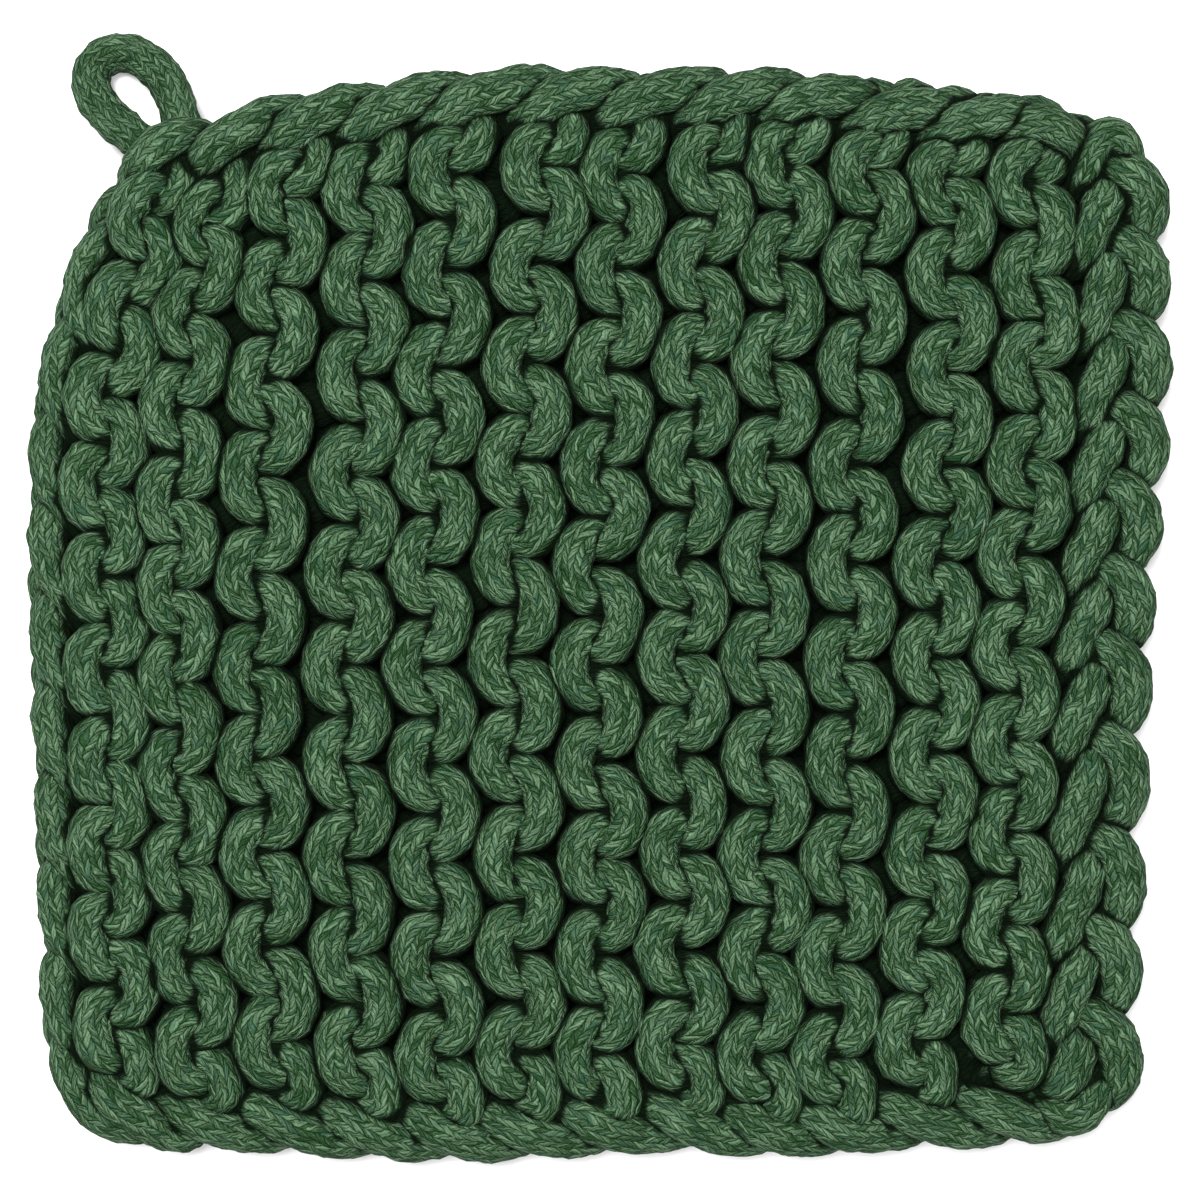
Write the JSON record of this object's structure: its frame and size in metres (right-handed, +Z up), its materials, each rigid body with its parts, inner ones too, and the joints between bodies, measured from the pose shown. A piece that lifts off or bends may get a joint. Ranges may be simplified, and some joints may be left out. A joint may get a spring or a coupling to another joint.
{
  "type": "knitted cord pot holder",
  "caption": "Square pot holder hand-knitted in garter stitch from thick braided cotton cord, with a small hanging loop of the same cord at one corner.",
  "frame": {"origin": "centre of the bounding box, on the surface that the pot holder lies on", "axes": "+Z up through the thickness, out of the face that shows; +Y up the ribs towards the edge with the hanging loop; +X across the ribs from the cast-on edge to the bind-off edge"},
  "size_m": [0.2038, 0.2038, 0.017],
  "materials": {
    "cotton_cord": "matt braided cotton, green with paler flecks"
  },
  "bodies": {
    "root": {"knitted_pad": "cotton_cord", "hanging_loop": "cotton_cord"}
  },
  "joints": []
}
